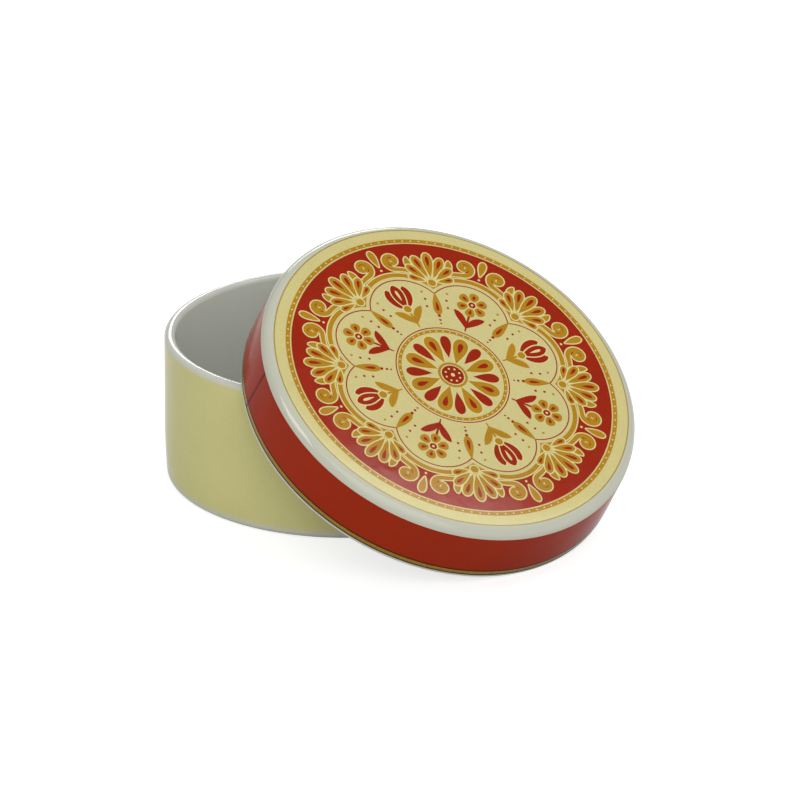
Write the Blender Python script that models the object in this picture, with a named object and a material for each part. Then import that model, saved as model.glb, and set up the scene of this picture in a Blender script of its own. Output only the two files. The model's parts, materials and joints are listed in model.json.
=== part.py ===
"""Round porcelain baker for one small cheese, with its cap lid off and leaning on the dish.

Lengths are in metres and +Z is up. The dish stands on the ground at z = 0. The lid leans towards +X:
its lip stands on the ground and the underside of its plate lies on the dish's rim. The origin is on
the ground, under the middle of the two pieces as they stand.
"""
from math import cos, pi, radians, sin

import bmesh
import bpy
import numpy as np

# Dish: a straight wall on a low foot ring
DISH_RADIUS = 0.0650
DISH_HEIGHT = 0.0545
DISH_WALL = 0.0040
WALL_DRAFT = 0.0006
DISH_FLOOR = 0.0045
FLOOR_FILLET = 0.0080
FOOT_ROUNDING = 0.0020
FOOT_RING_WIDTH = 0.0045
FOOT_RING_HEIGHT = 0.0012

# Lid: a flat cap whose skirt slips over the outside of the dish
SLIP_GAP = 0.0022
LID_WALL = 0.0040
LID_PLATE = 0.0032
LID_DEPTH = 0.0244
SHOULDER_ROUNDING = 0.0038
LID_FILLET = 0.0030
LIP_ROUNDING = 0.0010

# How the lid leans
LEAN_ANGLE = radians(32.2)
REST_GAP = 0.0003

# Fired colour: where each printed band begins and ends
FOOT_BAND = 0.0010
SHOULDER_WRAP = radians(12.5)
LIP_BAND = 0.00045
LIP_LINE = 0.00265
LABEL_MARGIN = 0.00065
LABEL_LINE = 0.0005

# Facets of the turned pieces and of their roundings
TURN_STEPS = 80
BIG_ARC_STEPS = 6
SMALL_ARC_STEPS = 4
SMOOTH_ANGLE = radians(40)
MERGE_DISTANCE = 0.000001

# Colours as they look in daylight (sRGB), with each one's roughness and metallic value
WHITE_GLAZE = ("white_glaze", (0.86, 0.87, 0.84), 0.12, 0.0)
CREAM_PRINT = ("cream_print", (0.90, 0.87, 0.60), 0.18, 0.0)
RED_PRINT = ("red_print", (0.68, 0.19, 0.12), 0.16, 0.0)
GOLD_LINE = ("gold_line", (0.72, 0.58, 0.22), 0.30, 0.4)
BARE_CLAY = ("bare_clay", (0.84, 0.82, 0.76), 0.75, 0.0)

LID_RADIUS = DISH_RADIUS + SLIP_GAP + LID_WALL
LID_BORE = DISH_RADIUS + SLIP_GAP
RIM_ROUNDING = DISH_WALL / 2


def clear_scene():
    for old in list(bpy.data.objects):
        bpy.data.objects.remove(old, do_unlink=True)


def linear(value):
    """One sRGB channel as a linear value."""
    if value <= 0.04045:
        return value / 12.92
    return ((value + 0.055) / 1.055) ** 2.4


def material(name, colour, roughness, metallic):
    made = bpy.data.materials.get(name)
    if made:
        return made
    made = bpy.data.materials.new(name)
    made.use_nodes = True
    shader = made.node_tree.nodes["Principled BSDF"]
    shader.inputs["Base Color"].default_value = [linear(value) for value in colour] + [1.0]
    shader.inputs["Roughness"].default_value = roughness
    shader.inputs["Metallic"].default_value = metallic
    return made


def arc(radius, height, rounding, start, end, steps):
    """Points round the centre (radius, height), from one angle to another, both in radians."""
    points = []
    for step in range(steps + 1):
        angle = start + (end - start) * step / steps
        points.append((radius + rounding * cos(angle), height + rounding * sin(angle)))
    return points


def dish_outline():
    """The dish's section from the middle of its floor over the rim to the middle of its base."""
    floor = FOOT_RING_HEIGHT + DISH_FLOOR
    bore = DISH_RADIUS - DISH_WALL
    fillet_radius = bore - WALL_DRAFT - FLOOR_FILLET
    rim_radius = DISH_RADIUS - RIM_ROUNDING
    rim_height = DISH_HEIGHT - RIM_ROUNDING
    foot_radius = DISH_RADIUS - FOOT_ROUNDING
    ring_inside = foot_radius - FOOT_RING_WIDTH
    print_foot = FOOT_ROUNDING + FOOT_BAND

    inside = [(0, floor)]
    inside += arc(fillet_radius, floor + FLOOR_FILLET, FLOOR_FILLET, -pi / 2, 0, BIG_ARC_STEPS)
    inside += arc(rim_radius, rim_height, RIM_ROUNDING, pi, 0, BIG_ARC_STEPS)
    wall = [(DISH_RADIUS, rim_height), (DISH_RADIUS, print_foot)]
    foot = [(DISH_RADIUS, print_foot)]
    foot += arc(foot_radius, FOOT_ROUNDING, FOOT_ROUNDING, 0, -pi / 2, SMALL_ARC_STEPS)
    ring = [(foot_radius, 0), (ring_inside, 0)]
    base = [(ring_inside, 0), (ring_inside - FOOT_RING_HEIGHT, FOOT_RING_HEIGHT), (0, FOOT_RING_HEIGHT)]
    return [
        (WHITE_GLAZE, inside),
        (CREAM_PRINT, wall),
        (WHITE_GLAZE, foot),
        (BARE_CLAY, ring),
        (WHITE_GLAZE, base),
    ]


def lid_outline():
    """The lid's section, lip down at height 0, from the middle of its top to that of its underside."""
    flat_radius = LID_RADIUS - SHOULDER_ROUNDING
    label_radius = flat_radius - LABEL_MARGIN
    shoulder_height = LID_DEPTH - SHOULDER_ROUNDING
    line_foot = LIP_ROUNDING + LIP_BAND
    underside = LID_DEPTH - LID_PLATE
    lip_outside = LID_RADIUS - LIP_ROUNDING
    lip_inside = LID_BORE + LIP_ROUNDING
    fillet_radius = LID_BORE - LID_FILLET

    line_inside = label_radius - LABEL_LINE
    label = [(0, LID_DEPTH), (line_inside, LID_DEPTH)]
    label_line = [(line_inside, LID_DEPTH), (label_radius, LID_DEPTH)]
    shoulder = [(label_radius, LID_DEPTH)]
    shoulder += arc(flat_radius, shoulder_height, SHOULDER_ROUNDING, pi / 2, SHOULDER_WRAP, BIG_ARC_STEPS)
    band = arc(flat_radius, shoulder_height, SHOULDER_ROUNDING, SHOULDER_WRAP, 0, 1)
    band.append((LID_RADIUS, line_foot + LIP_LINE))
    lip_line = [(LID_RADIUS, line_foot + LIP_LINE), (LID_RADIUS, line_foot)]
    lip = [(LID_RADIUS, line_foot)]
    lip += arc(lip_outside, LIP_ROUNDING, LIP_ROUNDING, 0, -pi / 2, SMALL_ARC_STEPS)
    lip_foot = [(lip_outside, 0), (lip_inside, 0)]
    inside = arc(lip_inside, LIP_ROUNDING, LIP_ROUNDING, -pi / 2, -pi, SMALL_ARC_STEPS)
    inside += arc(fillet_radius, underside - LID_FILLET, LID_FILLET, 0, pi / 2, SMALL_ARC_STEPS)
    inside.append((0, underside))
    return [
        (CREAM_PRINT, label),
        (GOLD_LINE, label_line),
        (WHITE_GLAZE, shoulder),
        (RED_PRINT, band),
        (GOLD_LINE, lip_line),
        (WHITE_GLAZE, lip),
        (BARE_CLAY, lip_foot),
        (WHITE_GLAZE, inside),
    ]


def turned(name, outline):
    """Spin a section, given as one run of points for each colour, into a closed turned piece."""
    mesh = bpy.data.meshes.new(name)
    form = bmesh.new()
    slots = []
    for look, points in outline:
        if look not in slots:
            slots.append(look)
            mesh.materials.append(material(*look))
        before = set(form.faces)
        corners = [form.verts.new((radius, 0, height)) for radius, height in points]
        edges = [form.edges.new(pair) for pair in zip(corners, corners[1:])]
        bmesh.ops.spin(
            form, geom=corners + edges, cent=(0, 0, 0), axis=(0, 0, 1), angle=2 * pi, steps=TURN_STEPS
        )
        for face in form.faces:
            if face not in before:
                face.material_index = slots.index(look)
                face.smooth = True
    bmesh.ops.remove_doubles(form, verts=form.verts, dist=MERGE_DISTANCE)
    bmesh.ops.recalc_face_normals(form, faces=form.faces)
    form.to_mesh(mesh)
    form.free()
    mesh.set_sharp_from_angle(angle=SMOOTH_ANGLE)
    piece = bpy.data.objects.new(name, mesh)
    bpy.context.collection.objects.link(piece)
    return piece


def lid_height():
    """Height of the middle of the lid's lip, with the lowest point of the lip on the ground."""
    lip_outside = LID_RADIUS - LIP_ROUNDING
    return lip_outside * sin(LEAN_ANGLE) - LIP_ROUNDING * cos(LEAN_ANGLE) + LIP_ROUNDING


def skirt_gap(lid_x):
    """Least gap between the lid's skirt and the dish, with the middle of the lip at lid_x."""
    turn = np.linspace(0, pi, 361)
    heights = np.linspace(FOOT_ROUNDING, DISH_HEIGHT - RIM_ROUNDING, 60)
    wall = [(DISH_RADIUS, height, 0) for height in heights]
    rim = [(DISH_RADIUS - RIM_ROUNDING, DISH_HEIGHT - RIM_ROUNDING, RIM_ROUNDING)]
    least = LID_RADIUS
    for radius, height, rounding in wall + rim:
        ahead = radius * np.cos(turn) - lid_x
        above = height - lid_height()
        along = ahead * cos(LEAN_ANGLE) - above * sin(LEAN_ANGLE)
        up = ahead * sin(LEAN_ANGLE) + above * cos(LEAN_ANGLE)
        out = np.hypot(along, radius * np.sin(turn))
        short = LID_BORE + LIP_ROUNDING - out
        beyond = out - (LID_RADIUS - LIP_ROUNDING)
        below = LIP_ROUNDING - up
        over = up - (LID_DEPTH - SHOULDER_ROUNDING)
        sideways = np.maximum(np.maximum(short, beyond), 0)
        endways = np.maximum(np.maximum(below, over), 0)
        gaps = np.hypot(sideways, endways) - LIP_ROUNDING - rounding
        least = min(least, gaps.min())
    return least


def lid_reach():
    """How far the middle of the lid's lip lies from the dish's axis.

    The underside of the plate comes down on the rim's rounding. Where the skirt would meet the dish
    first, the lid moves out until the skirt is clear.
    """
    rim_radius = DISH_RADIUS - RIM_ROUNDING
    rim_above_lip = DISH_HEIGHT - RIM_ROUNDING - lid_height()
    room = LID_DEPTH - LID_PLATE - RIM_ROUNDING - REST_GAP
    near = rim_radius + (rim_above_lip * cos(LEAN_ANGLE) - room) / sin(LEAN_ANGLE)
    if skirt_gap(near) >= REST_GAP:
        return near
    far = near + 2 * LID_RADIUS
    for _ in range(30):
        middle = (near + far) / 2
        if skirt_gap(middle) < REST_GAP:
            near = middle
        else:
            far = middle
    return far


def centre_on_origin(pieces):
    """Slide the pieces along X so that the origin is under the middle of them all."""
    bpy.context.view_layer.update()
    reach = [(piece.matrix_world @ point.co).x for piece in pieces for point in piece.data.vertices]
    middle = (min(reach) + max(reach)) / 2
    for piece in pieces:
        piece.location.x -= middle


clear_scene()
dish = turned("dish", dish_outline())
lid = turned("lid", lid_outline())
lid.location = (lid_reach(), 0, lid_height())
lid.rotation_euler = (0, LEAN_ANGLE, 0)
centre_on_origin([dish, lid])
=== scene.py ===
import json
from cmath import phase, rect
from math import acos, cos, degrees, pi, radians, sin, sqrt

import bmesh
import bpy
from mathutils import Color, Matrix, Quaternion, Vector

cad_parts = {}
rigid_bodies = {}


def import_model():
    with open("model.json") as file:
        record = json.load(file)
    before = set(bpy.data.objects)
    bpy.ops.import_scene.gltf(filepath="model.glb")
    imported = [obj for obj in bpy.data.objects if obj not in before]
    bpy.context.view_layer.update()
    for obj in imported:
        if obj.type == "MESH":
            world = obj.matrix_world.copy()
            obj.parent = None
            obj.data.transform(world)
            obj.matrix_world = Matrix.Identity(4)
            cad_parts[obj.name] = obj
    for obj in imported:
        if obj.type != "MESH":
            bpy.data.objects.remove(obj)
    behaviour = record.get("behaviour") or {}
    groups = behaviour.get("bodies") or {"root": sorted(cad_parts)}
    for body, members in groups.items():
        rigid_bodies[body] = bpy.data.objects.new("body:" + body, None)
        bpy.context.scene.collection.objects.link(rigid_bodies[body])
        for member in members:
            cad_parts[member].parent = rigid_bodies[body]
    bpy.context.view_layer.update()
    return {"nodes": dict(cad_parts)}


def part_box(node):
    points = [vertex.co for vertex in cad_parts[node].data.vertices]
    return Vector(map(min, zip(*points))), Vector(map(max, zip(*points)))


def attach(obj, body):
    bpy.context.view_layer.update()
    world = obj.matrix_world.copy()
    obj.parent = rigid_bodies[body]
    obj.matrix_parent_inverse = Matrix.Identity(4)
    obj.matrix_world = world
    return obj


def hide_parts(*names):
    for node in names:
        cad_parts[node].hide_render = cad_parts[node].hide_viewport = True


for old in list(bpy.data.objects):
    bpy.data.objects.remove(old, do_unlink=True)

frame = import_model()


# Dish
# The baker itself: white porcelain, turned on a wheel, with a wall that is drawn in a little over the
# foot, a fully rounded rim and a low foot ring that is wiped bare of glaze. The outside of the wall is
# sprayed cream, and the colour fades out softly under the rim and over the foot.


def add(tree, kind, values=None, **settings):
    """One node, with its settings, and its inputs either linked or set."""
    node = tree.nodes.new(kind)
    for name, value in settings.items():
        setattr(node, name, value)
    for name, value in (values or {}).items():
        if isinstance(value, bpy.types.NodeSocket):
            tree.links.new(value, node.inputs[name])
        else:
            node.inputs[name].default_value = value
    return node


def calc(tree, operation, *values):
    """The result of a Math node."""
    return add(tree, "ShaderNodeMath", dict(enumerate(values)), operation=operation).outputs[0]


def fade(tree, value, start, end, low=0.0, high=1.0):
    """Low where the value is at start, high where it is at end, and a soft step between them."""
    values = {"Value": value, "From Min": start, "From Max": end, "To Min": low, "To Max": high}
    return add(tree, "ShaderNodeMapRange", values, interpolation_type="SMOOTHSTEP").outputs[0]


def noise(tree, place, scale, detail=2.0):
    """Noise of so many cells to the metre."""
    values = {"Vector": place, "Scale": scale, "Detail": detail}
    return add(tree, "ShaderNodeTexNoise", values).outputs["Fac"]


def mixed(tree, factor, first, second):
    """Two colours mixed, each of them a colour or another node's output.

    The sockets go by number, because the node has several called A and B. 6 and 7 are the colours.
    """
    return add(tree, "ShaderNodeMix", {0: factor, 6: first, 7: second}, data_type="RGBA").outputs[2]


def seen(colour, factor=1.0):
    """A colour as it is seen, in sRGB, as the linear colour that a shader takes."""
    lit = Color([min(1.0, value * factor) for value in colour])
    return [*lit.from_srgb_to_scene_linear(), 1.0]


# How fine each unevenness of a glaze is, in cells to the metre, and how deep its ripples are, in metres
CLOUD_CELLS = 55.0
GRAIN_CELLS = 2600.0
SPECK_CELLS = 230.0
SPECK_PATCH_CELLS = 140.0
SPECK_PATCH_LEVEL = 0.68
SPECK_EDGE = (0.06, 0.03)
SPECK_SHADE = 0.4
POLISH_CELLS = 180.0
SWELL_CELLS = 95.0
SWELL_DEPTH = 0.00005
PEEL_CELLS = 620.0
PEEL_DEPTH = 0.000006
BUMP_STRENGTH = 0.5
BLACK = (0, 0, 0, 1)


def rippled(tree, height, depth, strength=BUMP_STRENGTH, **values):
    """The normal of a surface that ripples so deep."""
    values |= {"Height": height, "Distance": depth, "Strength": strength}
    return add(tree, "ShaderNodeBump", values).outputs["Normal"]


def glazed(
    name,
    colour,
    cloud=0.02,
    grain=0.03,
    gloss=0.09,
    shine=0.5,
    ripple=1.0,
    speck=0.3,
    second=None,
    share=None,
):
    """A colour under a clear glaze, with faint clouds, fine grain, rare specks and a skin that ripples.

    Cloud, grain and speck say how much of the colour these take. Gloss is the mean roughness, shine the
    strength of what is mirrored, and ripple a factor on the swells. Where share's factor is 1, a second
    colour shows instead.
    """
    made = bpy.data.materials.new(name)
    made.use_nodes = True
    tree = made.node_tree
    shader = tree.nodes["Principled BSDF"]
    place = add(tree, "ShaderNodeAttribute", attribute_name="own").outputs["Vector"]

    clouds = noise(tree, place, CLOUD_CELLS, detail=3.0)
    tone = mixed(tree, clouds, seen(colour, 1 - cloud), seen(colour, 1 + cloud))
    if second:
        tone = mixed(tree, share(tree, place), tone, seen(second))
    darker = fade(tree, noise(tree, place, GRAIN_CELLS), 0.3, 0.7, 0.0, 2 * grain)
    tone = mixed(tree, darker, tone, BLACK)
    spots = {"Vector": place, "Scale": SPECK_CELLS}
    spots = add(tree, "ShaderNodeTexVoronoi", spots).outputs["Distance"]
    rare = calc(tree, "GREATER_THAN", noise(tree, place, SPECK_PATCH_CELLS), SPECK_PATCH_LEVEL)
    specks = calc(tree, "MULTIPLY", rare, fade(tree, spots, *SPECK_EDGE, 0.0, speck))
    tone = mixed(tree, specks, tone, seen(colour, SPECK_SHADE))
    tree.links.new(tone, shader.inputs["Base Color"])

    polish = noise(tree, place, POLISH_CELLS, detail=4.0)
    polish = fade(tree, polish, 0.2, 0.8, gloss * 0.7, gloss * 1.3)
    tree.links.new(polish, shader.inputs["Roughness"])
    swell = rippled(tree, noise(tree, place, SWELL_CELLS), SWELL_DEPTH * ripple)
    peel = rippled(tree, noise(tree, place, PEEL_CELLS), PEEL_DEPTH, Normal=swell)
    tree.links.new(peel, shader.inputs["Normal"])
    shader.inputs["Specular IOR Level"].default_value = shine
    return made


GRIT_CELLS = 3200.0
GRIT_DEPTH = 0.00006
GRIT_STRENGTH = 0.8
MATT_CELLS = 900.0
MATT_ROUGHNESS = (0.70, 0.90)


def bare_clay(name, colour):
    """Fired clay with no glaze: matt, finely gritty and a little stained."""
    made = glazed(name, colour, cloud=0.05, grain=0.12, speck=0.7)
    tree = made.node_tree
    shader = tree.nodes["Principled BSDF"]
    place = add(tree, "ShaderNodeAttribute", attribute_name="own").outputs["Vector"]
    grit = rippled(tree, noise(tree, place, GRIT_CELLS, detail=3.0), GRIT_DEPTH, GRIT_STRENGTH)
    tree.links.new(grit, shader.inputs["Normal"])
    matt = fade(tree, noise(tree, place, MATT_CELLS), 0.2, 0.8, *MATT_ROUGHNESS)
    tree.links.new(matt, shader.inputs["Roughness"])
    return made


def arc(radius, height, rounding, start, end, steps):
    """Points of a section round the centre (radius, height), from one angle to another in degrees."""
    angles = [radians(start + (end - start) * step / steps) for step in range(steps + 1)]
    return [(radius + rounding * cos(angle), height + rounding * sin(angle)) for angle in angles]


def straight(start, end, steps=1):
    """Points of a section from one (radius, height) to another."""
    shares = [step / steps for step in range(steps + 1)]
    return [tuple(a + (b - a) * share for a, b in zip(start, end)) for share in shares]


def new_tree(name, inputs):
    """An empty geometry tree with named inputs, its input sockets and its output socket."""
    tree = bpy.data.node_groups.new(name, "GeometryNodeTree")
    for label, kind in inputs.items():
        tree.interface.new_socket(label, in_out="INPUT", socket_type="NodeSocket" + kind)
    tree.interface.new_socket("Piece", in_out="OUTPUT", socket_type="NodeSocketGeometry")
    return tree, tree.nodes.new("NodeGroupInput").outputs, tree.nodes.new("NodeGroupOutput").inputs[0]


def owned(tree, shape):
    """Realized geometry on which each point keeps its place, for the materials to read in any pose."""
    where = add(tree, "GeometryNodeInputPosition").outputs[0]
    whole = add(tree, "GeometryNodeRealizeInstances", {"Geometry": shape}).outputs[0]
    values = {"Geometry": whole, "Name": "own", "Value": where}
    return add(tree, "GeometryNodeStoreNamedAttribute", values, data_type="FLOAT_VECTOR").outputs[0]


def lathe_tree(name, finishes):
    """Turns a section, whose points carry the number of their finish, into a closed round piece.

    A grid is bent round the axis: one side of it counts the turn, the other the section's points.
    """
    inputs = {"Section": "Geometry", "Steps round": "Int", "Merge distance": "Float"}
    tree, given, out = new_tree(name, inputs)
    section, steps = given["Section"], given["Steps round"]
    count = add(tree, "GeometryNodeAttributeDomainSize", {"Geometry": section}).outputs["Point Count"]
    columns = calc(tree, "ADD", steps, 1.0)
    grid = add(tree, "GeometryNodeMeshGrid", {"Vertices X": columns, "Vertices Y": count}).outputs[0]
    index = add(tree, "GeometryNodeInputIndex").outputs[0]

    where = add(tree, "GeometryNodeInputPosition").outputs[0]
    point = {"Geometry": section, "Value": where, "Index": calc(tree, "MODULO", index, count)}
    point = add(tree, "GeometryNodeSampleIndex", point, data_type="FLOAT_VECTOR").outputs[0]
    radius, _, height = add(tree, "ShaderNodeSeparateXYZ", {0: point}).outputs
    turn = calc(tree, "DIVIDE", calc(tree, "FLOOR", calc(tree, "DIVIDE", index, count)), steps)
    angle = calc(tree, "MULTIPLY", turn, 2 * pi)
    across = calc(tree, "MULTIPLY", radius, calc(tree, "COSINE", angle))
    along = calc(tree, "MULTIPLY", radius, calc(tree, "SINE", angle))
    bend = add(tree, "ShaderNodeCombineXYZ", {0: across, 1: along, 2: height}).outputs[0]
    shape = add(tree, "GeometryNodeSetPosition", {"Geometry": grid, "Position": bend}).outputs[0]

    number = add(tree, "GeometryNodeInputNamedAttribute", {"Name": "finish"}, data_type="INT").outputs[0]
    band = calc(tree, "MODULO", index, calc(tree, "SUBTRACT", count, 1.0))
    finish = {"Geometry": section, "Value": number, "Index": band}
    finish = add(tree, "GeometryNodeSampleIndex", finish, data_type="INT").outputs[0]
    shape = {"Geometry": shape, "Name": "finish", "Value": finish}
    shape = add(tree, "GeometryNodeStoreNamedAttribute", shape, data_type="INT", domain="FACE").outputs[0]

    shape = {"Geometry": shape, "Distance": given["Merge distance"]}
    shape = add(tree, "GeometryNodeMergeByDistance", shape).outputs[0]
    shape = owned(tree, add(tree, "GeometryNodeSetShadeSmooth", {0: shape}).outputs[0])
    for slot, material in enumerate(finishes):
        # Sockets 2 and 3 are the node's whole numbers
        chosen = add(tree, "FunctionNodeCompare", {2: number, 3: slot}, data_type="INT", operation="EQUAL")
        shape = {"Geometry": shape, "Selection": chosen.outputs[0], "Material": material}
        shape = add(tree, "GeometryNodeSetMaterial", shape).outputs[0]
    tree.links.new(shape, out)
    return tree


def grown(mesh, tree, values):
    """The plain mesh that a tree makes from a starting mesh."""
    seed = bpy.data.objects.new("seed", mesh)
    bpy.context.scene.collection.objects.link(seed)
    growth = seed.modifiers.new("growth", "NODES")
    growth.node_group = tree
    for item in tree.interface.items_tree:
        if item.name in values:
            growth[item.identifier] = values[item.name]
    graph = bpy.context.evaluated_depsgraph_get()
    made = bpy.data.meshes.new_from_object(seed.evaluated_get(graph), depsgraph=graph)
    bpy.data.objects.remove(seed, do_unlink=True)
    bpy.data.meshes.remove(mesh)
    return made


def piece(name, meshes, place):
    """One object from meshes that share their finishes, with its place put into its mesh."""
    form = bmesh.new()
    for mesh in meshes:
        form.from_mesh(mesh)
    form.transform(place)
    form.to_mesh(meshes[0])
    form.free()
    made = bpy.data.objects.new(name, meshes[0])
    bpy.context.scene.collection.objects.link(made)
    return made


STEPS_ROUND = 288
MERGE_DISTANCE = 0.000001


def turned(name, runs, place):
    """A round piece from its section's runs of points, each with its finish, from axis to axis."""
    points, numbers, finishes = [], [], []
    for finish, run in runs:
        if finish not in finishes:
            finishes.append(finish)
        points = points[:-1] + run
        numbers = numbers[:-1] + [finishes.index(finish)] * len(run)
    mesh = bpy.data.meshes.new(name)
    corners = [(radius, 0.0, height) for radius, height in points]
    mesh.from_pydata(corners, [(k, k + 1) for k in range(len(corners) - 1)], [])
    mesh.attributes.new("finish", "INT", "POINT").data.foreach_set("value", numbers)
    values = {"Steps round": STEPS_ROUND, "Merge distance": MERGE_DISTANCE}
    return piece(name, [grown(mesh, lathe_tree(name + "_lathe", finishes), values)], place)


dish_low, dish_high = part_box("dish")
DISH_RADIUS = (dish_high.x - dish_low.x) / 2
DISH_HEIGHT = dish_high.z
DISH_WALL = 0.0040
WALL_DRAFT = 0.0006
FLOOR_HEIGHT = 0.0057
FLOOR_FILLET = 0.0080
RIM_ROUNDING = DISH_WALL / 2
RIM_SPRAY = 50
FOOT_ROUNDING = 0.0020
FOOT_ROUND_FROM = -4
FOOT_ROUND_TO = -80
FOOT_DRAW = 0.0008
FOOT_DRAW_HEIGHT = 0.020
FOOT_DRAW_STEPS = 10
FOOT_RING_WIDTH = 0.0045
FOOT_RING_HEIGHT = 0.0012
WHITE = (0.825, 0.83, 0.795)
CREAM = (0.85, 0.83, 0.57)
CLAY = (0.80, 0.78, 0.72)

# The heights at which the cream starts to fade and at which it is gone: at the rim from the middle of its
# rounding, and at the foot from the ground. Mist is how far the fading wavers.
RIM_FADE = (-0.0008, 0.0022)
FOOT_FADE = (0.0050, 0.0008)
MIST = 0.0008
MIST_CELLS = 700.0

rim_height = DISH_HEIGHT - RIM_ROUNDING


def bare_edges(tree, place):
    """Where the white shows through the cream: softly, under the rim and at the foot."""
    height = add(tree, "ShaderNodeSeparateXYZ", {0: place}).outputs[2]
    height = calc(tree, "ADD", height, calc(tree, "MULTIPLY", noise(tree, place, MIST_CELLS), MIST))
    rim = fade(tree, height, rim_height + RIM_FADE[0], rim_height + RIM_FADE[1])
    return calc(tree, "MAXIMUM", rim, fade(tree, height, *FOOT_FADE))


white_glaze = glazed("white_glaze", WHITE, cloud=0.012, grain=0.01)
cream_spray = glazed("cream_spray", CREAM, shine=0.10, speck=0.5, second=WHITE, share=bare_edges)
foot_clay = bare_clay("foot_clay", CLAY)

bore = DISH_RADIUS - DISH_WALL
rim_radius = DISH_RADIUS - RIM_ROUNDING
drawn_in = []
for step in range(1, FOOT_DRAW_STEPS + 1):
    height = FOOT_DRAW_HEIGHT + (FOOT_ROUNDING - FOOT_DRAW_HEIGHT) * step / FOOT_DRAW_STEPS
    drawn_in.append((DISH_RADIUS - FOOT_DRAW * (1 - height / FOOT_DRAW_HEIGHT) ** 2, height))
foot_radius = drawn_in[-1][0] - FOOT_ROUNDING
ring_inside = DISH_RADIUS - FOOT_ROUNDING - FOOT_RING_WIDTH
fillet_radius = bore - WALL_DRAFT - FLOOR_FILLET
fillet = arc(fillet_radius, FLOOR_HEIGHT + FLOOR_FILLET, FLOOR_FILLET, -90, 0, 14)
rim = arc(rim_radius, rim_height, RIM_ROUNDING, 180, RIM_SPRAY, 14)
spray = arc(rim_radius, rim_height, RIM_ROUNDING, RIM_SPRAY, 0, 6)
wall = straight(spray[-1], (DISH_RADIUS, FOOT_DRAW_HEIGHT), 12)[1:] + drawn_in
foot = arc(foot_radius, FOOT_ROUNDING, FOOT_ROUNDING, FOOT_ROUND_FROM, FOOT_ROUND_TO, 8)
ring = straight((foot_radius, 0), (ring_inside, 0), 4)
base_corner = (ring_inside - FOOT_RING_HEIGHT, FOOT_RING_HEIGHT)
base = straight(ring[-1], base_corner, 2) + straight(base_corner, (0, FOOT_RING_HEIGHT), 8)[1:]

dish = turned(
    "dish_body",
    [
        (white_glaze, straight((0, FLOOR_HEIGHT), fillet[0], 12) + fillet[1:]),
        (white_glaze, straight(fillet[-1], rim[0], 12) + rim[1:]),
        (cream_spray, spray + wall + foot),
        (foot_clay, foot[-1:] + ring),
        (white_glaze, base),
    ],
    Matrix.Translation(((dish_low.x + dish_high.x) / 2, 0, 0)),
)
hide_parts("dish")
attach(dish, "dish")


# Lid
# A flat cap of the same porcelain, with a slightly tapered skirt. Its top carries a round label with a
# thin line at its edge, its rounded shoulder is left white, and its skirt has a red transfer over a gilt
# line with dark edges, with one fine dark seam across both. The lip it stands on is wiped bare.


def flat_top(mesh):
    """The normal and the middle of the largest flat part of a mesh that looks upwards."""
    groups = {}
    for face in mesh.polygons:
        if face.normal.z > 0:
            groups.setdefault(tuple(round(value, 2) for value in face.normal), []).append(face)
    flat = max(groups.values(), key=lambda faces: sum(face.area for face in faces))
    area = sum(face.area for face in flat)
    normal = sum((face.normal * face.area for face in flat), Vector()).normalized()
    return normal, sum((face.center * face.area for face in flat), Vector()) / area


lid_low, lid_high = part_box("lid")
LID_RADIUS = (lid_high.y - lid_low.y) / 2
LID_DEPTH = 0.0244
LID_WALL = 0.0040
LID_PLATE = 0.0032
LID_FILLET = 0.0030
SKIRT_DRAFT = 0.0006
SHOULDER_ROUNDING = 0.0044
SHOULDER_WRAP = 11.5
SHOULDER_END = 2
LIP = 0.0010
LIP_BAND = 0.00045
LINE_EDGE = 0.0006
LINE_GOLD = 0.00145
LABEL_INSET = 0.00422
LABEL_LINE = 0.0005
LABEL_BORDER = 0.00375
SEAM_TURN = radians(-109.5)
SEAM_WANDER = 0.0006
SEAM_WANDER_CELLS = 60.0
SEAM_SIDES = (0.0009, 0.0004)
GILT_METALLIC = 0.3
SHOULDER_WHITE = (0.785, 0.79, 0.72)
RED = (0.65, 0.175, 0.05)
SEAM_DARK = (0.43, 0.055, 0.01)
GOLD = (0.66, 0.52, 0.10)
LINE_DARK = (0.26, 0.12, 0.02)
LABEL_CREAM = (0.845, 0.80, 0.55)
BORDER_CREAM = (0.85, 0.805, 0.545)
LABEL_OCHRE = (0.70, 0.60, 0.30)

top_normal, top_middle = flat_top(frame["nodes"]["lid"].data)
downhill = Vector((top_normal.z, 0, -top_normal.x))
leaning = Matrix((downhill, (0, 1, 0), top_normal)).transposed().to_4x4()
lid_place = Matrix.Translation(top_middle - top_normal * LID_DEPTH) @ leaning


def seam(tree, place):
    """Where the ends of the transfer meet: a line along the skirt, on one side of the axis."""
    x, y, _ = add(tree, "ShaderNodeSeparateXYZ", {0: place}).outputs
    wander = calc(tree, "SUBTRACT", noise(tree, place, SEAM_WANDER_CELLS), 0.5)
    wander = calc(tree, "MULTIPLY", wander, SEAM_WANDER)
    sideways = calc(tree, "SUBTRACT", calc(tree, "MULTIPLY", y, cos(SEAM_TURN)), wander)
    sideways = calc(tree, "SUBTRACT", sideways, calc(tree, "MULTIPLY", x, sin(SEAM_TURN)))
    line = fade(tree, calc(tree, "ABSOLUTE", sideways), *SEAM_SIDES)
    return calc(tree, "MULTIPLY", line, calc(tree, "LESS_THAN", y, 0.0))


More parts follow.
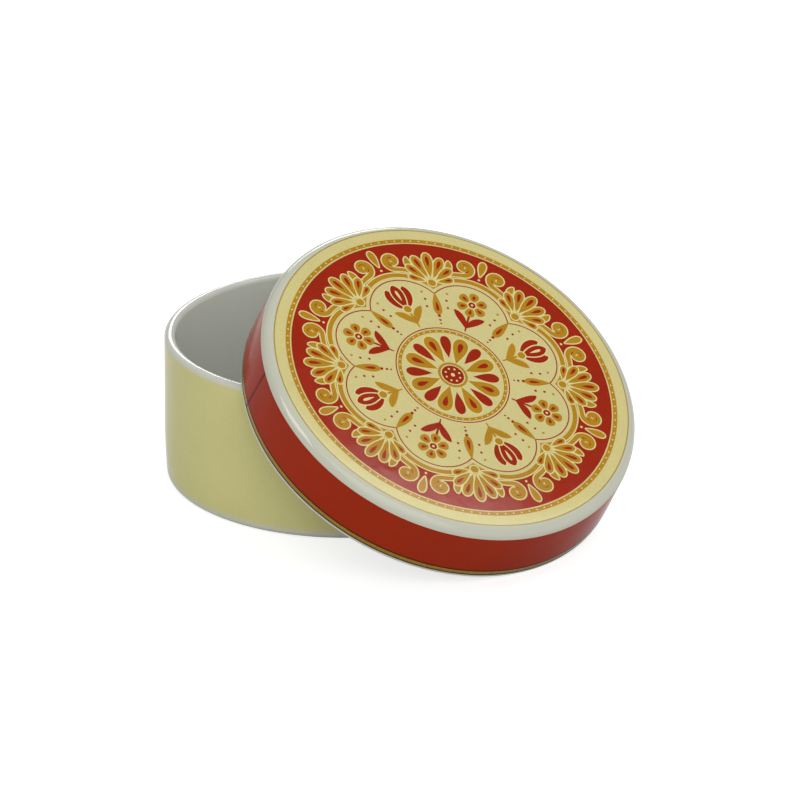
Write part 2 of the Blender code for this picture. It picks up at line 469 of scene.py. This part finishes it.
shoulder_glaze = glazed("shoulder_glaze", SHOULDER_WHITE, cloud=0.012, grain=0.01)
red_transfer = glazed(
    "red_transfer", RED, cloud=0.04, grain=0.06, shine=0.06, ripple=7.0, second=SEAM_DARK, share=seam
)
gilt = glazed("gilt", GOLD, grain=0.20, gloss=0.28, second=LINE_DARK, share=seam)
gilt.node_tree.nodes["Principled BSDF"].inputs["Metallic"].default_value = GILT_METALLIC
gilt_edge = glazed("gilt_edge", LINE_DARK, gloss=0.25, shine=0.05)
label_cream = glazed("label_cream", LABEL_CREAM, grain=0.05, gloss=0.07)
border_cream = glazed("border_cream", BORDER_CREAM, grain=0.05, gloss=0.07)
label_edge = glazed("label_edge", LABEL_OCHRE, grain=0.10)
lip_clay = bare_clay("lip_clay", CLAY)

bore = LID_RADIUS - LID_WALL
flat_radius = LID_RADIUS - SKIRT_DRAFT - SHOULDER_ROUNDING
shoulder_height = LID_DEPTH - SHOULDER_ROUNDING
label_radius = LID_RADIUS - LABEL_INSET
line_inside = label_radius - LABEL_LINE
border_inside = line_inside - LABEL_BORDER
label_turn = degrees(acos((label_radius - flat_radius) / SHOULDER_ROUNDING))
line_turn = degrees(acos((line_inside - flat_radius) / SHOULDER_ROUNDING))
underside = LID_DEPTH - LID_PLATE
heights = [LIP + LIP_BAND]
for width in (LINE_EDGE, LINE_GOLD, LINE_EDGE):
    heights.append(heights[-1] + width)
line_rows = [(LID_RADIUS, height) for height in reversed(heights)]
border = straight((border_inside, LID_DEPTH), (flat_radius, LID_DEPTH), 2)
border += arc(flat_radius, shoulder_height, SHOULDER_ROUNDING, 90, line_turn, 3)[1:]
label_line = arc(flat_radius, shoulder_height, SHOULDER_ROUNDING, line_turn, label_turn, 2)
shoulder = arc(flat_radius, shoulder_height, SHOULDER_ROUNDING, label_turn, SHOULDER_WRAP, 20)
wrap = arc(flat_radius, shoulder_height, SHOULDER_ROUNDING, SHOULDER_WRAP, SHOULDER_END, 3)
lip_outside = arc(LID_RADIUS - LIP, LIP, LIP, 0, -90, 6)
lip_inside = arc(bore + LIP, LIP, LIP, -90, -180, 6)
inside_fillet = arc(bore - LID_FILLET, underside - LID_FILLET, LID_FILLET, 0, 90, 10)

lid = turned(
    "lid_body",
    [
        (label_cream, straight((0, LID_DEPTH), (border_inside, LID_DEPTH), 14)),
        (border_cream, border),
        (label_edge, label_line),
        (shoulder_glaze, shoulder),
        (red_transfer, wrap + straight(wrap[-1], line_rows[0], 8)[1:]),
        (gilt_edge, line_rows[:2]),
        (gilt, line_rows[1:3]),
        (gilt_edge, line_rows[2:]),
        (white_glaze, line_rows[3:] + lip_outside),
        (lip_clay, straight(lip_outside[-1], lip_inside[0], 3)),
        (white_glaze, lip_inside + straight(lip_inside[-1], inside_fillet[0], 6)[1:]),
        (white_glaze, inside_fillet + straight(inside_fillet[-1], (0, underside), 12)[1:]),
    ],
    lid_place,
)
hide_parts("lid")
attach(lid, "lid")


# Label print
# The ornament fired on the flat of the lid, in three inks: a red ring with ochre palmettes and scrolls
# edged in cream, and a cream field with flowers round a rosette. It repeats round the middle. Each ink
# is a film, and they lie over one another, less than a tenth of a millimetre thick in all.

# Sizes of the ornament, here and in its groups below, in millimetres. A place is measured from the
# label's middle, a petal is its length and width, and a band its outer and inner radius.
LOBES = 8
HALF_LOBE = pi / LOBES
LOBE_RING = 29.2
LOBE = 16.8
EDGING = 0.5

# The thickness of a film and how deep the lowest is sunk in the lid, in metres
FILM = 0.000005
SUNK = 0.00002


def motif_tree():
    """Fills closed loops, gives them a film's thickness and repeats them round the axis."""
    inputs = {"Loops": "Geometry", "Copies": "Int", "First turn": "Float", "Foot": "Float", "Top": "Float"}
    inputs |= {"Merge distance": "Float", "Ink": "Material"}
    tree, given, out = new_tree("printed_motif", inputs)
    curve = add(tree, "GeometryNodeMeshToCurve", {0: given["Loops"]}).outputs[0]
    flat = add(tree, "GeometryNodeFillCurve", {0: curve}).outputs[0]
    rise = calc(tree, "SUBTRACT", given["Top"], given["Foot"])
    rise = add(tree, "ShaderNodeCombineXYZ", {2: rise}).outputs[0]
    film = {"Mesh": flat, "Offset": rise, "Individual": False}
    film = add(tree, "GeometryNodeExtrudeMesh", film).outputs[0]
    both = add(tree, "GeometryNodeJoinGeometry")
    tree.links.new(add(tree, "GeometryNodeFlipFaces", {0: flat}).outputs[0], both.inputs[0])
    tree.links.new(film, both.inputs[0])
    solid = {"Geometry": both.outputs[0], "Distance": given["Merge distance"]}
    solid = add(tree, "GeometryNodeMergeByDistance", solid).outputs[0]
    foot = add(tree, "ShaderNodeCombineXYZ", {2: given["Foot"]}).outputs[0]
    solid = add(tree, "GeometryNodeSetPosition", {"Geometry": solid, "Offset": foot}).outputs[0]

    points = add(tree, "GeometryNodePoints", {"Count": given["Copies"]}).outputs[0]
    index = add(tree, "GeometryNodeInputIndex").outputs[0]
    angle = calc(tree, "DIVIDE", calc(tree, "MULTIPLY", index, 2 * pi), given["Copies"])
    turn = {"Axis": (0, 0, 1), "Angle": calc(tree, "ADD", angle, given["First turn"])}
    turn = add(tree, "FunctionNodeAxisAngleToRotation", turn).outputs[0]
    copies = {"Points": points, "Instance": solid, "Rotation": turn}
    shape = owned(tree, add(tree, "GeometryNodeInstanceOnPoints", copies).outputs[0])
    shape = add(tree, "GeometryNodeSetMaterial", {"Geometry": shape, "Material": given["Ink"]}).outputs[0]
    tree.links.new(shape, out)
    return tree


def disc(radius, centre=0, steps=24):
    """The outline of a disc. In all outlines, points are complex numbers in millimetres."""
    return [centre + rect(radius, 2 * pi * step / steps) for step in range(steps)]


def petal(length, width, start=0.0, fullness=0.6, point=0.0, steps=36):
    """A drop from start along x, half its width to each side. A point above 0 sharpens its far end."""
    sides = []
    for step in range(steps):
        angle = 2 * pi * step / steps
        along = (1 - cos(angle)) / 2
        sides.append((along, -sin(angle) * along**fullness * (1 - along) ** point))
    widest = max(side for along, side in sides)
    return [complex(start + length * along, width * side / widest) for along, side in sides]


def bent(outline, curve):
    """An outline bent along a circle, where curve is one over the radius."""
    turns = [rect(1, spot.real * curve) for spot in outline]
    return [(turn - 1) / (1j * curve) + 1j * spot.imag * turn for spot, turn in zip(outline, turns)]


def moved(outline, place, turn):
    """An outline turned by so many degrees and then moved."""
    return [place + spot * rect(1, radians(turn)) for spot in outline]


def mirrored(outline):
    """An outline mirrored from one side of the x axis to the other, still running the same way round."""
    return [spot.conjugate() for spot in reversed(outline)]


def spread(outline, by):
    """An outline grown outwards on all sides."""
    ends = zip(outline[-1:] + outline[:-1], outline, outline[1:] + outline[:1])
    return [here - 1j * by * (after - before) / abs(after - before) for before, here, after in ends]


def ribbon(spine, widths):
    """The outline of a stroke along a spine, with its widths spread evenly from end to end."""
    left, right = [], []
    last = len(spine) - 1
    for number, here in enumerate(spine):
        side = 1j * (spine[min(number + 1, last)] - spine[max(number - 1, 0)])
        reach = number / last * (len(widths) - 1)
        part = min(int(reach), len(widths) - 2)
        half = (widths[part] + (widths[part + 1] - widths[part]) * (reach - part)) / 2
        left.append(here + side / abs(side) * half)
        right.append(here - side / abs(side) * half)
    return right + left[::-1]


def cusp_of(radius):
    """How far out two lobes of that radius meet."""
    return LOBE_RING * cos(HALF_LOBE) + sqrt(radius**2 - (LOBE_RING * sin(HALF_LOBE)) ** 2)


def scallops(radius, steps=48):
    """The outline of a ring of lobes, which are circles whose centres lie on a smaller ring."""
    reach = phase(rect(cusp_of(radius), HALF_LOBE) - LOBE_RING)
    angles = [reach * (2 * step / steps - 1) for step in range(steps)]
    outline = []
    for lobe in range(LOBES):
        outline += [(LOBE_RING + rect(radius, angle)) * rect(1, 2 * HALF_LOBE * lobe) for angle in angles]
    return outline


def ink(colour, level, outlines, copies=LOBES, turn=0.0, edged=False):
    """One motif, filled, as many films high as its level, and repeated. Its outlines are in millimetres."""
    if edged:
        ink("cream", level - 1, [spread(outline, EDGING) for outline in outlines], copies, turn)
    corners, edges = [], []
    for outline in outlines:
        first, count = len(corners), len(outline)
        corners += [(spot.real / 1000, spot.imag / 1000, 0) for spot in outline]
        edges += [(first + step, first + (step + 1) % count) for step in range(count)]
    mesh = bpy.data.meshes.new("loops")
    mesh.from_pydata(corners, edges, [])
    values = {"Copies": copies, "First turn": radians(turn), "Foot": LID_DEPTH - SUNK}
    values |= {"Top": LID_DEPTH + FILM * level, "Merge distance": MERGE_DISTANCE, "Ink": INKS[colour]}
    prints.setdefault(colour, []).append(grown(mesh, MOTIF_TREE, values))


def band(colour, level, outside, inside, steps):
    """A band of one ink round the middle."""
    ink(colour, level, [disc(outside, steps=steps), disc(inside, steps=steps)], copies=1)


INKS = {
    "red": glazed("ink_red", (0.645, 0.15, 0.035), cloud=0.06, grain=0.10, gloss=0.07),
    "ochre": glazed("ink_ochre", (0.73, 0.535, 0.11), cloud=0.05, grain=0.08, gloss=0.07),
    "cream": glazed("ink_cream", (0.88, 0.84, 0.58), cloud=0.03, grain=0.05, gloss=0.07),
}
MOTIF_TREE = motif_tree()
prints = {}
between = degrees(HALF_LOBE)

# The red ring and the bands that bound it
RED_RING = 60.4
RED_RING_OVER_LOBE = 1.0
BEAD_BAND = (62.5, 60.9)
BEAD = 0.33
BEADS = 120
# Each band along the lobes: its ink, its level, and how far outside the lobes its two edges run
LOBE_BANDS = (("cream", 2, 2.2, 0.6), ("ochre", 3, 1.7, 0), ("red", 3, -1.3, -1.75))
RING_STEPS = 288

ink("red", 1, [disc(RED_RING, steps=RING_STEPS), scallops(LOBE + RED_RING_OVER_LOBE)], copies=1)
band("ochre", 1, *BEAD_BAND, steps=RING_STEPS)
ink("cream", 2, [disc(BEAD, sum(BEAD_BAND) / 2, steps=12)], copies=BEADS)
for colour, level, outside, inside in LOBE_BANDS:
    ink(colour, level, [scallops(LOBE + outside), scallops(LOBE + inside)], copies=1)

# Tendrils that run along the lobes and curl up beside a bud, and the palmettes that they spring from
PALMETTE_OVER_CUSP = 2.9
PALMETTE_HEART = 1.5
PALMETTE_START = 2.5
# Each leaf: its lean in degrees, its length, its width and its level
PALMETTE_LEAVES = ((25, 10.6, 1.8, 10), (75, 6.4, 1.3, 10), (0, 11.4, 1.9, 12), (50, 8.8, 1.6, 12))
# The size of a leaf's vein and where it starts, as shares of the leaf's length and width
VEIN = (0.45, 0.38)
VEIN_START = 0.42
TENDRIL_OVER_LOBE = 3.6
TENDRIL_START = -0.6
TENDRIL_END = radians(17.5)
TENDRIL_STEPS = 24
TENDRIL_WIDTHS = (0.5, 1.0, 1.5, 1.9, 1.9, 1.7, 1.5, 1.3, 1.0)
CURL_LENGTH = 20.5
CURL_WIDE = 4.6
CURL_TIGHT = 1.0
CURL_HEART = 1.15
CURL_STEPS = 56
SPRIG = (6.8, 1.15)
SPRIG_OVER_TENDRIL = 0.4
SPRIG_TURN = radians(36)
SPRIG_LEAN = -14
BUD = (7.4, 1.35)
BUD_PLACE = 51.3
BUD_DOT = 0.5
BUD_DOT_PLACE = 49.6

palmette = cusp_of(LOBE) + PALMETTE_OVER_CUSP
path = LOBE + TENDRIL_OVER_LOBE
start = phase(rect(palmette + TENDRIL_START, HALF_LOBE) - LOBE_RING)
turns = [start + (TENDRIL_END - start) * step / TENDRIL_STEPS for step in range(TENDRIL_STEPS + 1)]
spine = [LOBE_RING + rect(path, turn) for turn in turns]
heading = TENDRIL_END - pi / 2
for step in range(CURL_STEPS):
    curl = CURL_WIDE * (CURL_TIGHT / CURL_WIDE) ** ((step + 0.5) / CURL_STEPS)
    heading += CURL_LENGTH / CURL_STEPS / curl
    spine.append(spine[-1] + rect(CURL_LENGTH / CURL_STEPS, heading))
tendril = ribbon(spine, TENDRIL_WIDTHS)
sprig = bent(petal(*SPRIG, point=0.3), curve=0.10)
sprig = moved(sprig, LOBE_RING + rect(path + SPRIG_OVER_TENDRIL, SPRIG_TURN), SPRIG_LEAN)
for flip in (list, mirrored):
    ink("ochre", 5, [flip(sprig)], edged=True)
    ink("ochre", 7, [flip(tendril)], edged=True)
    ink("ochre", 8, [flip(disc(CURL_HEART, spine[-1]))])
ink("ochre", 7, [petal(*BUD, BUD_PLACE)], edged=True)
ink("cream", 4, [disc(BUD_DOT, BUD_DOT_PLACE, steps=12)])
for lean, length, width, level in PALMETTE_LEAVES:
    leaf = petal(length, width, PALMETTE_START)
    vein = petal(length * VEIN[0], width * VEIN[1], PALMETTE_START + length * VEIN_START)
    for turn in sorted({lean, -lean}, reverse=True):
        ink("ochre", level, [moved(leaf, palmette, turn)], turn=between, edged=True)
        ink("red", 13, [moved(vein, palmette, turn)], turn=between)
ink("ochre", 15, [disc(PALMETTE_HEART, palmette)], turn=between, edged=True)

# The field: drops that hang from the cusps, and four tulips in turn with four daisies
DROP_UNDER_CUSP = 0.6
# Each drop: its ink, its level, its length, its width and how far under the tip it starts
DROPS = (("ochre", 4, 10.5, 1.7, 0.8), ("red", 5, 4.6, 0.6, 4.9))
# Each dot under a drop: its radius and its place
DROP_DOTS = ((0.65, 27.2), (0.5, 25.2), (0.38, 23.6))
LEAF = (9.4, 1.45)
LEAF_PLACE = 24.0
LEAF_LEAN = 20
STEM = (22.6, 26.0, 32.0)
STEM_WIDTHS = (0.5, 0.8, 0.9)
FIELD_DOT = 0.5
FIELD_DOTS = (("red", 33.5 + 9.4j), ("red", 30.3 + 8.2j), ("ochre", 36.8 + 9.9j))
TULIP_PLACE = 31.2
TULIP_GAP = 0.2
TULIP_HEART = 1.5
TULIP_SIDE = (11.0, 1.9)
TULIP_SIDE_LEAN = 42
TULIP_MIDDLE = (11.0, 2.3)
TULIP_VEIN = (5.0, 0.55)
TULIP_VEIN_PLACE = 35.0
DAISY_PLACE = 36.2
DAISY_HEART = 1.4
DAISY_EYE = 0.5
DAISY_PETALS = 6
DAISY_PETAL = (4.9, 1.85)
DAISY_PETAL_START = 1.0
DAISY_VEIN = (2.3, 0.6)
DAISY_VEIN_START = 2.4

tip = cusp_of(LOBE) - DROP_UNDER_CUSP
for colour, level, length, width, start in DROPS:
    ink(colour, level, [[tip - spot for spot in petal(length, width, start)]], turn=between)
for radius, place in DROP_DOTS:
    ink("red", 1, [disc(radius, place, steps=16)], turn=between)
tulips = {"copies": LOBES // 2, "turn": 0.0}
daisies = {"copies": LOBES // 2, "turn": 360 / LOBES}
leaf = bent(petal(*LEAF, fullness=0.5, point=0.25), curve=0.075)
leaf = moved(leaf, LEAF_PLACE, LEAF_LEAN)
stem = ribbon([complex(place) for place in STEM], STEM_WIDTHS)
for leaves, flowers in (("ochre", tulips), ("red", daisies)):
    ink(leaves, 1, [leaf], **flowers)
    ink(leaves, 2, [mirrored(leaf)], **flowers)
    ink(leaves, 3, [stem], **flowers)
    for colour, place in FIELD_DOTS:
        for flip in (list, mirrored):
            ink(colour, 1, [flip(disc(FIELD_DOT, place, steps=16))], **flowers)
side = bent(petal(*TULIP_SIDE, fullness=0.55, point=0.2), curve=-0.075)
side = moved(side, TULIP_PLACE - TULIP_GAP + 1j * TULIP_GAP, TULIP_SIDE_LEAN)
ink("red", 5, [side], **tulips, edged=True)
ink("red", 7, [mirrored(side)], **tulips, edged=True)
middle = petal(*TULIP_MIDDLE, TULIP_PLACE + TULIP_GAP, fullness=0.55, point=0.15)
ink("red", 9, [middle], **tulips, edged=True)
ink("cream", 10, [petal(*TULIP_VEIN, TULIP_VEIN_PLACE)], **tulips)
ink("ochre", 11, [disc(TULIP_HEART, TULIP_PLACE)], **tulips, edged=True)
for turn in range(0, 360, 360 // DAISY_PETALS):
    ink("ochre", 5, [moved(petal(*DAISY_PETAL, DAISY_PETAL_START), DAISY_PLACE, turn)], **daisies)
    ink("red", 6, [moved(petal(*DAISY_VEIN, DAISY_VEIN_START), DAISY_PLACE, turn)], **daisies)
ink("red", 8, [disc(DAISY_HEART, DAISY_PLACE)], **daisies, edged=True)
ink("cream", 9, [disc(DAISY_EYE, DAISY_PLACE, steps=12)], **daisies)

# The rings round the rosette, and the rosette
ROSETTE_LINE = (21.6, 21.15)
ROSETTE_BAND = (20.6, 19.3)
ROSETTE_BEAD = 0.3
ROSETTE_BEADS = 48
LONG_PETAL = (12.6, 2.8)
LONG_PETAL_START = 5.4
LONG_VEIN = (5.2, 1.0)
LONG_VEIN_START = 10.6
SHORT_PETAL = (10.2, 2.0)
SHORT_PETAL_START = 7.6
HEART_BAND = (5.6, 4.7)
HEART = 4.2
HEART_BEAD = 0.42
HEART_BEAD_PLACE = 2.8
HEART_EYE = 0.8
ROSETTE_STEPS = 160
HEART_STEPS = 64

band("red", 1, *ROSETTE_LINE, steps=ROSETTE_STEPS)
band("ochre", 1, *ROSETTE_BAND, steps=ROSETTE_STEPS)
ink("cream", 2, [disc(ROSETTE_BEAD, sum(ROSETTE_BAND) / 2, steps=12)], copies=ROSETTE_BEADS)
ink("red", 1, [petal(*SHORT_PETAL, SHORT_PETAL_START, fullness=0.7)], turn=between)
ink("ochre", 3, [petal(*LONG_PETAL, LONG_PETAL_START, fullness=0.75)], edged=True)
ink("red", 4, [petal(*LONG_VEIN, LONG_VEIN_START, fullness=0.7)])
band("ochre", 5, *HEART_BAND, steps=HEART_STEPS)
ink("red", 1, [disc(HEART, steps=48)], copies=1)
ink("cream", 2, [disc(HEART_BEAD, HEART_BEAD_PLACE, steps=12)])
ink("cream", 2, [disc(HEART_EYE)], copies=1)

for colour, meshes in prints.items():
    film = piece("label_" + colour, meshes, lid_place)
    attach(film, "lid")


# Studio
# A large white floor, with a broad soft lamp in front and a small one behind. The glaze mirrors a panel
# high on the right, in the label, two low lamps behind, in the rims, one on the left, in the shoulder, and
# a surround that is pale behind the floor and dim overhead. The camera stands where the photo was taken.
FLOOR_REACH = 6.0
FLOOR_DROP = 0.00005
FLOOR_GREY = (0.55, 0.55, 0.55, 1)
FLOOR_GLOW = 0.70
SURROUND_LIGHT = (0.64, 0.64, 0.64, 1)
SURROUND_DIM = (0.10, 0.10, 0.10, 1)
# The sines of the heights at which the mirrored surround is dim and is pale
SURROUND_FADE = (0.22, 0.04)
SURROUND_WHITE = (1, 1, 1, 1)
MIRRORED_WHITE = 0.45
LAMP_AIM = Vector((0, 0, 0.04))
# In watts for each square metre of a lamp whose brightness is 1
LAMP_POWER = 4.0
VIEW_TURN = radians(51.95)
VIEW_PITCH = radians(22.35)
VIEW_ROLL = radians(-0.67)
VIEW_DISTANCE = 1.8289
VIEW_AIM = Vector((-0.01610, 0.01652, 0.02753))
LENS = 225.0
SENSOR = 36.0

away = Vector((-sin(VIEW_TURN), cos(VIEW_TURN), 0))
ahead = away * cos(VIEW_PITCH) - Vector((0, 0, sin(VIEW_PITCH)))
level = Vector((cos(VIEW_TURN), sin(VIEW_TURN), 0))
below = ahead.cross(level)
right = level * cos(VIEW_ROLL) + below * sin(VIEW_ROLL)
up = level * sin(VIEW_ROLL) - below * cos(VIEW_ROLL)
lens = bpy.data.cameras.new("camera")
lens.lens = LENS
lens.sensor_width = SENSOR
lens.clip_start = 0.05
lens.clip_end = 50.0
camera = bpy.data.objects.new("camera", lens)
bpy.context.scene.collection.objects.link(camera)
facing = Matrix((right, up, -ahead)).transposed().to_4x4()
camera.matrix_world = Matrix.Translation(VIEW_AIM - ahead * VIEW_DISTANCE) @ facing
bpy.context.scene.camera = camera


def backdrop_rays(tree, from_gloss=1.0):
    """1 for rays that come from the camera or through glass, and from_gloss for those from gloss."""
    rays = add(tree, "ShaderNodeLightPath").outputs
    gloss = calc(tree, "MULTIPLY", rays["Is Glossy Ray"], from_gloss)
    gloss = calc(tree, "MAXIMUM", gloss, rays["Is Transmission Ray"])
    return calc(tree, "MAXIMUM", rays["Is Camera Ray"], gloss)


def soft_lamp(name, turn, rise, distance, width, brightness, roll=0.0, lights=True, mirrored=True):
    """A square lamp, turned from straight behind the object as the camera sees it, and aimed at it.

    It lights the object, or is mirrored in the glaze, or both.
    """
    side = level * sin(radians(turn)) + away * cos(radians(turn))
    spot = (side * cos(radians(rise)) + Vector((0, 0, sin(radians(rise))))) * distance
    data = bpy.data.lights.new(name, "AREA")
    data.size = width
    data.energy = brightness * LAMP_POWER * width**2
    lamp = bpy.data.objects.new(name, data)
    bpy.context.scene.collection.objects.link(lamp)
    lamp.location = spot
    lamp.rotation_mode = "QUATERNION"
    aimed = (LAMP_AIM - spot).to_track_quat("-Z", "Y")
    lamp.rotation_quaternion = aimed @ Quaternion((0, 0, 1), radians(roll))
    lamp.visible_diffuse = lights
    lamp.visible_glossy = mirrored


soft_lamp("front_lamp", turn=174, rise=30, distance=2.4, width=2.2, brightness=1.15)
soft_lamp("back_lamp", turn=-9, rise=35, distance=1.5, width=0.5, brightness=3.2, mirrored=False)
soft_lamp("low_lamp_left", turn=-15, rise=28, distance=1.5, width=0.34, brightness=3.0, lights=False)
soft_lamp("low_lamp_right", turn=-0.5, rise=28.5, distance=1.5, width=0.40, brightness=4.8, lights=False)
soft_lamp("left_lamp", turn=-124, rise=40, distance=1.5, width=0.6, brightness=3.6, lights=False)
soft_lamp("panel", turn=80.4, rise=59.4, distance=1.5, width=0.55, brightness=2.0, roll=-8.5)

floor_mesh = bpy.data.meshes.new("floor")
signs = ((-1, -1), (1, -1), (1, 1), (-1, 1))
corners = [(x * FLOOR_REACH, y * FLOOR_REACH, -FLOOR_DROP) for x, y in signs]
floor_mesh.from_pydata(corners, [], [(0, 1, 2, 3)])
floor = bpy.data.objects.new("floor", floor_mesh)
bpy.context.scene.collection.objects.link(floor)
floor_white = bpy.data.materials.new("floor_white")
floor_white.use_nodes = True
tree = floor_white.node_tree
paint = tree.nodes["Principled BSDF"].inputs
paint["Base Color"].default_value = FLOOR_GREY
paint["Roughness"].default_value = 1.0
paint["Specular IOR Level"].default_value = 0.0
paint["Emission Color"].default_value = (1, 1, 1, 1)
glow = calc(tree, "MULTIPLY", backdrop_rays(tree, MIRRORED_WHITE), FLOOR_GLOW)
tree.links.new(glow, paint["Emission Strength"])
floor_mesh.materials.append(floor_white)

world = bpy.data.worlds.new("surround")
bpy.context.scene.world = world
world.use_nodes = True
tree = world.node_tree
height = add(tree, "ShaderNodeTexCoord").outputs["Generated"]
height = add(tree, "ShaderNodeSeparateXYZ", {0: height}).outputs[2]
rays = backdrop_rays(tree)
dim = mixed(tree, rays, SURROUND_LIGHT, SURROUND_DIM)
camera_ray = add(tree, "ShaderNodeLightPath").outputs["Is Camera Ray"]
low = fade(tree, height, *SURROUND_FADE, 0.0, MIRRORED_WHITE)
white = calc(tree, "MAXIMUM", camera_ray, calc(tree, "MULTIPLY", rays, low))
white = mixed(tree, white, dim, SURROUND_WHITE)
tree.links.new(white, tree.nodes["Background"].inputs["Color"])
bpy.context.scene.view_settings.view_transform = "Standard"
